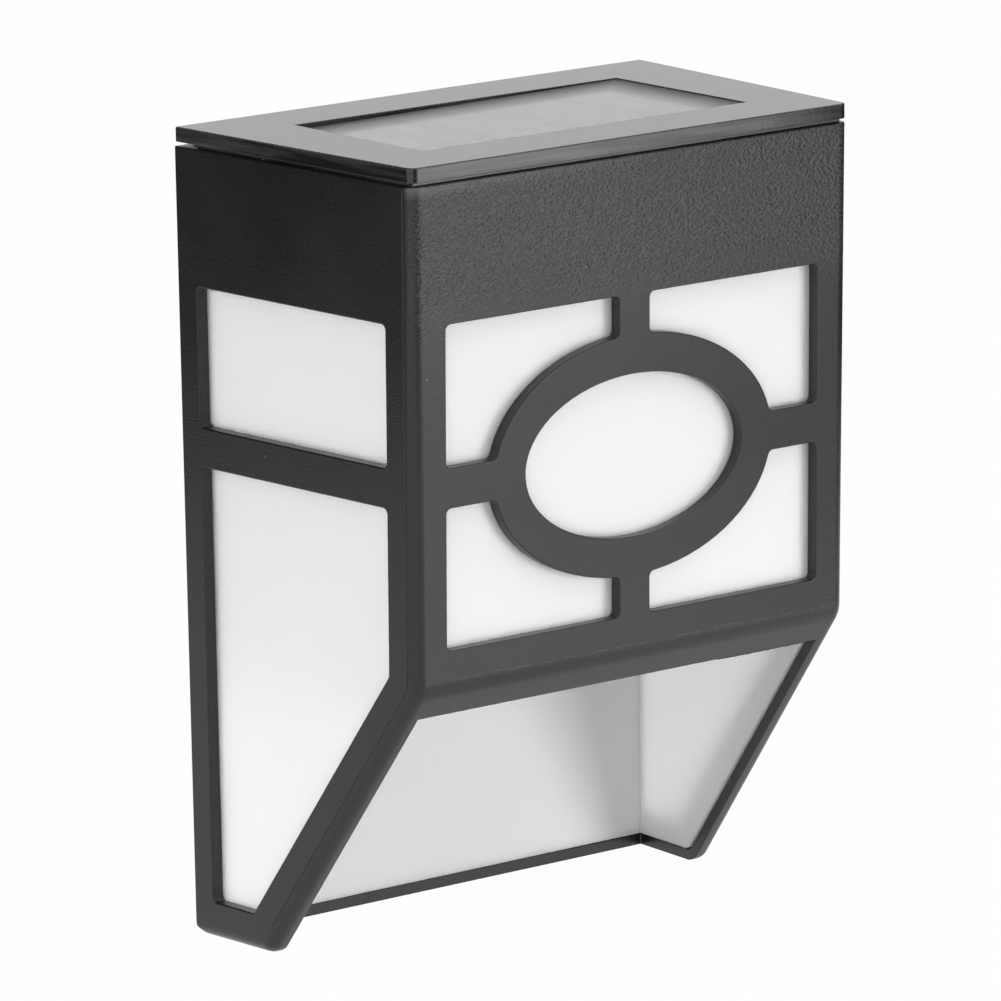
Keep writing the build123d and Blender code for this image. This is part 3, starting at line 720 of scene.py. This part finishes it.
def flashMesh():
    shape = bmesh.new()
    rows = []
    count = int((flash["to"] - flash["from"]) / flash["step"])
    for index in range(count + 1):
        x = flash["from"] + index * flash["step"]
        fade = math.sin(math.pi * index / count)
        length = (flash["least"] + flash["reach"] * raggedAt(x)) * fade
        outer = flash["edge"] + Vector((x, 0, 0)) - flash["down"] * flash["root"]
        inner = outer + flash["inward"] * flash["deep"]
        tip = flash["down"] * (length + flash["root"])
        rows.append([shape.verts.new(point) for point in (outer, outer + tip, inner + tip, inner)])
    skinInto(shape, rows)
    return finishMesh(shape, "bandFlash")


addPiece("bandFlash", flashMesh(), "housing", blackHousing, "black_abs")
print("housing details ready")

# solar panel: satin film over the cells, printed fingers and bus bars on each cell
panel = {
    "gap": 0.05 * mm, "spread": 0.24 * mm, "filmEdge": 0.06 * mm, "edgeSegments": 2, "filmAngle": 30,
    "fingerPitch": 1.6 * mm, "fingerWidth": 0.14 * mm, "fingerLength": 0.94,
    "busWidth": 0.7 * mm, "busLength": 0.97, "busPlaces": (-0.27, 0.27),
    "inkHeight": 0.02 * mm, "inkCorner": (0.84, 0.9),
}
cells = solidBoxes("solar_cells")
cellSize = cells[0][1] - cells[0][0]
panelSlope = (cells[-1][1].z - cells[0][1].z) / (cells[-1][1].x - cells[0][1].x)
panelTilt = -math.atan(panelSlope)


def filmMesh():  # pressed against the walls of the recess, free along the back
    low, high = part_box("panel_cover")
    cellTop, spread = cells[-1][1], panel["spread"]
    left, right, near = low.x - spread, high.x + spread, low.y - spread
    shape = bmesh.new()
    corners = []
    for x, y in ((left, near), (right, near), (right, high.y), (left, high.y)):
        corners.append(Vector((x, y, cellTop.z + panel["gap"] + (x - cellTop.x) * panelSlope)))
    slabInto(shape, corners, high.z - corners[1].z)
    edge, segments = panel["filmEdge"], panel["edgeSegments"]
    bmesh.ops.bevel(shape, geom=shape.edges, offset=edge, segments=segments, affect="EDGES")
    return finishMesh(shape, "panelFilm", panel["filmAngle"])


def stripMesh(name, wide, deep):
    shape = bmesh.new()
    outline = cutCorners(wide, deep, *panel["inkCorner"])
    slabInto(shape, [Vector((x, y, 0)) for x, y in outline], panel["inkHeight"])
    return finishMesh(shape, name)


def cellPoints(along, across):  # points on top of every cell, by shares of its length and width
    points = []
    for low, high in cells:
        middle = (low + high) / 2
        for shareX in across:
            for shareY in along:
                x, y = middle.x + shareX * cellSize.x, middle.y + shareY * cellSize.y
                points.append(Vector((x, y, high.z + (x - high.x) * panelSlope)))
    return points


def addPrint(name, strip, points):
    mesh = repeat(name, strip, points, silverPaste, Tilt=panelTilt)
    addPiece(name, mesh, "lid_module", silverPaste, "silicon")


addPiece("panelFilm", filmMesh(), "lid_module", filmClear, "panel_film", "panel_cover")
fingerCount = int(cellSize.y / panel["fingerPitch"])
fingerShares = [(index + 0.5) / fingerCount - 0.5 for index in range(fingerCount)]
finger = stripMesh("finger", cellSize.x * panel["fingerLength"], panel["fingerWidth"])
addPrint("cellFingers", finger, cellPoints(fingerShares, (0,)))
bus = stripMesh("bus", panel["busWidth"], cellSize.y * panel["busLength"])
addPrint("cellBusBars", bus, cellPoints((0,), panel["busPlaces"]))
print("panel ready")

# pan head screws with a cross recess and a ridged shank
screwKinds = [
    {"piece": "trayScrews", "node": "tray_screws", "body": "lid_module", "headDown": True,
     "head": 4.6 * mm, "headHigh": 1.6 * mm, "shank": 2.4 * mm, "pitch": 0.9 * mm},
    {"piece": "coverScrews", "node": "cover_screws", "body": "battery_cover", "headDown": True,
     "head": 3.8 * mm, "headHigh": 1.4 * mm, "shank": 2.0 * mm, "pitch": 0.8 * mm},
    {"piece": "circuitScrews", "node": "circuit_screws", "body": "lid_module", "headDown": False,
     "head": 3.6 * mm, "headHigh": 1.2 * mm, "shank": 1.8 * mm, "pitch": 0.7 * mm},
]
screwForm = {  # shares of the head, shank and pitch
    "tip": 0.55, "core": 0.8, "neck": 1.2 * mm, "firstRidge": 0.75, "crest": 0.12, "flank": 0.5, "root": 0.62,
    "underside": 0.95, "edgeLow": 0.08, "edgeHigh": 0.3, "domeSteps": 7, "domeAngle": 12, "segments": 24,
    "armWide": 0.09, "armLong": 0.3, "cutTop": 1.2, "cutFloor": (0.55, 0.7, 0.35),
    "sharpAngle": 35, "turn": 3.0, "seed": 7,
}


def screwProfile(kind, length):
    wide, thin, high, pitch = kind["head"] / 2, kind["shank"] / 2, kind["headHigh"], kind["pitch"]
    core, edgeHigh = thin * screwForm["core"], screwForm["edgeHigh"]
    profile = [(0, -length), (thin * screwForm["tip"], -length), (core, -length + pitch / 2)]
    for index in range(int((length - screwForm["neck"]) / pitch)):
        low = -length + pitch * (index + screwForm["firstRidge"])
        profile += [(thin, low), (thin, low + pitch * screwForm["crest"])]
        profile += [(core, low + pitch * screwForm["flank"]), (core, low + pitch * screwForm["root"])]
    profile += [(core, 0), (wide * screwForm["underside"], 0)]
    profile += [(wide, high * screwForm["edgeLow"]), (wide, high * edgeHigh)]
    for step in range(1, screwForm["domeSteps"] + 1):
        turn = math.radians(screwForm["domeAngle"] * step)
        profile.append((wide * math.cos(turn), high * (edgeHigh + (1 - edgeHigh) * math.sin(turn))))
    return profile + [(0, high)]


def crossMesh(kind):
    arm, reach = kind["head"] * screwForm["armWide"], kind["head"] * screwForm["armLong"]
    shareX, shareY, floor = screwForm["cutFloor"]
    outline, quarter = [], [(reach, -arm), (reach, arm), (arm, arm)]
    for count in range(4):  # one arm after the other, each a quarter turn on
        outline += quarter
        quarter = [(-y, x) for x, y in quarter]
    shape = bmesh.new()
    top = [shape.verts.new((x, y, kind["headHigh"] * screwForm["cutTop"])) for x, y in outline]
    bottom = [shape.verts.new((x * shareX, y * shareY, kind["headHigh"] * floor)) for x, y in outline]
    skinInto(shape, [bottom, top])
    return finishMesh(shape, "cross")


def screwMesh(kind, length):
    shape = bmesh.new()
    turnedInto(shape, screwProfile(kind, length), screwForm["segments"])
    screw = hold("screw", finishMesh(shape, "screw", screwForm["sharpAngle"]))
    cross = hold("cross", crossMesh(kind))
    cut = screw.modifiers.new("cross", "BOOLEAN")
    cut.operation, cut.object, cut.solver = "DIFFERENCE", cross, "EXACT"
    mesh = settle(screw, "screw")
    bpy.data.objects.remove(cross)
    return mesh


for kind in screwKinds:
    boxes = solidBoxes(kind["node"])
    length = boxes[0][1].z - boxes[0][0].z - kind["headHigh"]
    spots = []
    for low, high in boxes:
        middle = (low + high) / 2
        seat = low.z + kind["headHigh"] if kind["headDown"] else high.z - kind["headHigh"]
        spots.append(Vector((middle.x, middle.y, seat)))
    flip = math.pi if kind["headDown"] else 0.0
    turns = {"Flip": flip, "Turn": screwForm["turn"], "Seed": screwForm["seed"]}
    mesh = repeat(kind["piece"], screwMesh(kind, length), spots, zincSteel, **turns)
    addPiece(kind["piece"], mesh, kind["body"], zincSteel, "zinc_steel", kind["node"])
print("screws ready")

# light emitting diodes: clear lens in the tray's floor, cup inside it, legs to the circuit board
led = {
    "lens": 2.4 * mm, "barrel": 2.2 * mm, "barrelTop": -0.02 * mm, "flange": 2.8 * mm, "flangeHigh": 1.0 * mm,
    "flangeEdge": 0.1 * mm, "domeSteps": 10, "segments": 32, "sharpAngle": 40,
    "legWide": 0.5 * mm, "legPitch": 2.54 * mm, "legCorner": 0.8,
    "legStarts": ((-1, 0.3 * mm), (1, -0.1 * mm)),  # side, and height above the cup's level
    "cupLevel": -0.9 * mm, "cupPlace": Vector((-0.35, 0, 0)) * mm, "cupSegments": 16,
}
ledCup = [(0, 0.1), (0.35, 0.1), (0.75, -0.35), (0.9, -0.35), (0.55, 0.4), (0, 0.4)]  # radius, height in mm
ledBoxes = solidBoxes("leds")
ledSeats = []
for low, high in ledBoxes:
    middle = (low + high) / 2
    ledSeats.append(Vector((middle.x, middle.y, low.z + led["barrel"] + led["lens"])))
ledLegTop = ledBoxes[0][1].z - ledSeats[0].z


def lensMesh():
    lens, flange, high, edge = (led[key] for key in ("lens", "flange", "flangeHigh", "flangeEdge"))
    profile = []
    for step in range(led["domeSteps"] + 1):
        turn = math.radians(90 * step / led["domeSteps"])
        profile.append((lens * math.sin(turn), -led["barrel"] - lens * math.cos(turn)))
    profile += [(lens, led["barrelTop"]), (flange - edge, 0), (flange, edge)]
    profile += [(flange, high - edge), (flange - edge, high), (0, high)]
    shape = bmesh.new()
    turnedInto(shape, profile, led["segments"])
    return finishMesh(shape, "lens", led["sharpAngle"])


def ledFrameMesh():
    shape = bmesh.new()
    cup, wide, corner = led["cupLevel"], led["legWide"], led["legCorner"]
    profile = [(radius * mm, cup + height * mm) for radius, height in ledCup]
    turnedInto(shape, profile, led["cupSegments"], led["cupPlace"])
    for side, start in led["legStarts"]:
        middle, low = side * led["legPitch"] / 2, cup + start
        outline = [Vector((middle + x, y, low)) for x, y in cutCorners(wide, wide, corner, corner)]
        slabInto(shape, outline, ledLegTop - low)
    return finishMesh(shape, "ledFrame")


lenses = repeat("ledLenses", lensMesh(), ledSeats, ledResin)
addPiece("ledLenses", lenses, "lid_module", ledResin, "led_resin", "leds")
frames = repeat("ledFrames", ledFrameMesh(), ledSeats, nickelSteel)
addPiece("ledFrames", frames, "lid_module", nickelSteel, "nickel_steel")

# legs of the control chip, bent down to the board on both long sides
chipLeg = {"pitch": 1.27 * mm, "count": 4, "wide": 0.4 * mm, "thick": 0.15 * mm, "root": 0.1 * mm,
           "reach": 0.9 * mm, "shoulder": 0.3, "foot": 0.55, "sharpAngle": 30}


def chipLegMesh(side, rise):
    reach, wide, thick = chipLeg["reach"], chipLeg["wide"], chipLeg["thick"]
    path = [(-chipLeg["root"], rise), (reach * chipLeg["shoulder"], rise)]
    path += [(reach * chipLeg["foot"], thick / 2), (reach, thick / 2)]
    section = [(x * wide / 2, z * thick / 2) for x, z in ((-1, -1), (1, -1), (1, 1), (-1, 1))]
    shape = bmesh.new()
    rows = []
    for out, level in path:
        rows.append([shape.verts.new((x, out * side, level + z)) for x, z in section])
    skinInto(shape, rows)
    return finishMesh(shape, "chipLeg", chipLeg["sharpAngle"])


chipLow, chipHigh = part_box("control_chip")
chipMiddle = (chipLow + chipHigh) / 2
offsets = [(index - (chipLeg["count"] - 1) / 2) * chipLeg["pitch"] for index in range(chipLeg["count"])]
for side, name, edgeY in ((-1, "chipLegsFront", chipLow.y), (1, "chipLegsBack", chipHigh.y)):
    spots = [Vector((chipMiddle.x + offset, edgeY, chipLow.z)) for offset in offsets]
    mesh = repeat(name, chipLegMesh(side, chipMiddle.z - chipLow.z), spots, nickelSteel)
    addPiece(name, mesh, "lid_module", nickelSteel, "nickel_steel")
print("electronics ready")


# remaining CAD pieces
def paint(material, *names):
    for name in names:
        slots = cadNodes[name].data.materials
        slots.clear()
        slots.append(material)


paint(makeSilicon(), "solar_cells")
paint(makeBoard(), "panel_board", "circuit_board")
paint(nickelSteel, "positive_contact", "negative_contact", "battery")
paint(makeBanded(batteryLook), "battery_wrap")
paint(blackResin, "switch_body", "switch_knob", "control_chip")
paint(makeBanded(chokeLook), "choke")
paint(makeGrained("redInsulation", (0.5, 0.03, 0.02), 0.4), "red_wires")
paint(makeGrained("blackInsulation", (0.02, 0.02, 0.02), 0.4), "black_wires")

# camera at the photograph's viewing angle
cameraView = {"azimuth": -38.479, "elevation": 12.276, "roll": -0.815, "distance": 1266.4 * mm,
              "lens": 301.08, "aim": Vector((-1.968, -22.683, -45.701)) * mm,
              "nearest": 0.1, "farthest": 20.0}


def addCamera():
    azimuth, elevation, roll = (math.radians(cameraView[key]) for key in ("azimuth", "elevation", "roll"))
    level = math.cos(elevation)
    back = Vector((math.sin(azimuth) * level, -math.cos(azimuth) * level, math.sin(elevation)))
    right = Vector((math.cos(azimuth), math.sin(azimuth), 0.0))
    up = back.cross(right)
    turnedRight = math.cos(roll) * right + math.sin(roll) * up
    turnedUp = math.cos(roll) * up - math.sin(roll) * right
    data = bpy.data.cameras.new("camera")
    data.lens = cameraView["lens"]
    data.clip_start, data.clip_end = cameraView["nearest"], cameraView["farthest"]
    camera = hold("camera", data)
    turn = Matrix((turnedRight, turnedUp, back)).transposed().to_4x4()
    camera.matrix_world = Matrix.Translation(cameraView["aim"] + back * cameraView["distance"]) @ turn
    bpy.context.scene.camera = camera


addCamera()

# floor, world and lamps, with dark cards that are seen in reflections only; metres and watts
studio = {"floorSize": 6.0, "floorDrop": 70 * mm, "floorColor": 0.3, "floorWhite": 0.99, "skyLight": 0.43,
          "cardColor": 0.015}
cards = [
    {"name": "backCard", "angle": 127.0, "far": 0.3, "wide": 0.56, "low": -0.099, "high": 0.7},
    {"name": "frontCard", "angle": 263.0, "far": 0.5, "wide": 0.5, "low": -0.1, "high": 0.4},
    {"name": "rightCard", "angle": 0.0, "far": 0.3, "wide": 0.36, "low": -0.1, "high": 0.2},
    {"name": "sideCard", "angle": 319.4, "far": 0.46, "wide": 0.25, "low": -0.15, "high": 0.3},
]
lamps = [
    {"name": "keyLamp", "place": (0.107, -0.29, 0.035), "aim": (0.03, -0.05, 0.025),
     "size": (0.238, 0.22), "power": 0.39, "reflects": True},
    {"name": "footLamp", "place": (0.17, -0.3, -0.155), "aim": (0.0, -0.05, -0.06),
     "size": (0.22, 0.04), "power": 0.057, "reflects": True},
    {"name": "rightLamp", "place": (0.8, 0.0, 0.1), "aim": (0, -0.03, -0.05),
     "size": (0.5, 0.5), "power": 3.3, "reflects": False},
    {"name": "leftLamp", "place": (-0.85, 0.1, 0.02), "aim": (0, -0.03, -0.05),
     "size": (0.5, 0.5), "power": 4.2, "reflects": False},
    {"name": "innerLamp", "place": (-0.45, -0.5, -0.12), "aim": (0.03, -0.02, -0.09),
     "size": (0.2, 0.2), "power": 1.3, "reflects": False},
    {"name": "topLamp", "place": (0.0, -0.5, 0.8), "aim": (0, -0.03, 0),
     "size": (0.6, 0.6), "power": 1.8, "reflects": False},
    {"name": "lowLamp", "place": (0.26, -0.5, -0.06), "aim": (0, -0.03, -0.08),
     "size": (0.2, 0.2), "power": 1.6, "reflects": False},
]


def flatObject(name, corners, material):
    mesh = bpy.data.meshes.new(name)
    mesh.from_pydata(corners, [], [tuple(range(len(corners)))])
    mesh.materials.append(material)
    made = hold(name, mesh)
    return made


def seenDirectly(tree):
    path = addNode(tree, "ShaderNodeLightPath")
    seen = maths(tree, "MAXIMUM", path.outputs["Is Camera Ray"], path.outputs["Is Glossy Ray"])
    return maths(tree, "MAXIMUM", seen, path.outputs["Is Transmission Ray"])


def addFloor():
    half, level = studio["floorSize"] / 2, cadBox[0].z - studio["floorDrop"]
    material = bpy.data.materials.new("paleFloor")
    material.use_nodes = True
    tree = material.node_tree
    tree.nodes.clear()
    paper = addNode(tree, "ShaderNodeBsdfDiffuse", {"Color": grey(studio["floorColor"])})
    white = addNode(tree, "ShaderNodeEmission", {"Strength": 1.0})
    clear = addNode(tree, "ShaderNodeBsdfTransparent")
    share = times(tree, seenDirectly(tree), studio["floorWhite"])
    lit = addNode(tree, "ShaderNodeMixShader", {0: share, 1: paper.outputs[0], 2: white.outputs[0]})
    below = addNode(tree, "ShaderNodeNewGeometry").outputs["Backfacing"]
    sided = addNode(tree, "ShaderNodeMixShader", {0: below, 1: lit.outputs[0], 2: clear.outputs[0]})
    addNode(tree, "ShaderNodeOutputMaterial", {"Surface": sided.outputs[0]})
    corners = [(x * half, y * half, level) for x, y in ((-1, -1), (1, -1), (1, 1), (-1, 1))]
    flatObject("floor", corners, material)


def addCards():
    dark = {"Base Color": grey(studio["cardColor"]), "Specular IOR Level": 0.0}
    material = newMaterial("darkCard", 1.0, **dark)[0]
    for card in cards:
        angle = math.radians(card["angle"])
        centre = Vector((math.cos(angle), math.sin(angle), 0)) * card["far"]
        along = Vector((-math.sin(angle), math.cos(angle), 0)) * card["wide"] / 2
        low, high = Vector((0, 0, card["low"])), Vector((0, 0, card["high"]))
        left, right = centre - along, centre + along
        made = flatObject(card["name"], [left + low, right + low, right + high, left + high], material)
        made.visible_camera, made.visible_diffuse, made.visible_shadow = False, False, False


def addWorld():
    world = bpy.data.worlds.new("studioWorld")
    bpy.context.scene.world = world
    world.use_nodes = True
    tree = world.node_tree
    background = tree.nodes["Background"]
    background.inputs["Color"].default_value = (1, 1, 1, 1)
    strength = remap(tree, seenDirectly(tree), 0, 1, studio["skyLight"], 1.0)
    feed(tree, background.inputs["Strength"], strength)


def addLamp(lamp):
    data = bpy.data.lights.new(lamp["name"], "AREA")
    data.shape, data.size, data.size_y = "RECTANGLE", *lamp["size"]
    data.energy = lamp["power"]
    made = hold(lamp["name"], data)
    made.visible_camera, made.visible_glossy = False, lamp["reflects"]
    made.visible_diffuse = not lamp["reflects"]  # a lamp either shows in the gloss or lights the colours
    heading = (Vector(lamp["aim"]) - Vector(lamp["place"])).to_track_quat("-Z", "Y")
    made.matrix_world = Matrix.Translation(lamp["place"]) @ heading.to_matrix().to_4x4()


addFloor()
addCards()
addWorld()
for lamp in lamps:
    addLamp(lamp)
bpy.context.scene.view_settings.view_transform = "Standard"
print("studio ready")
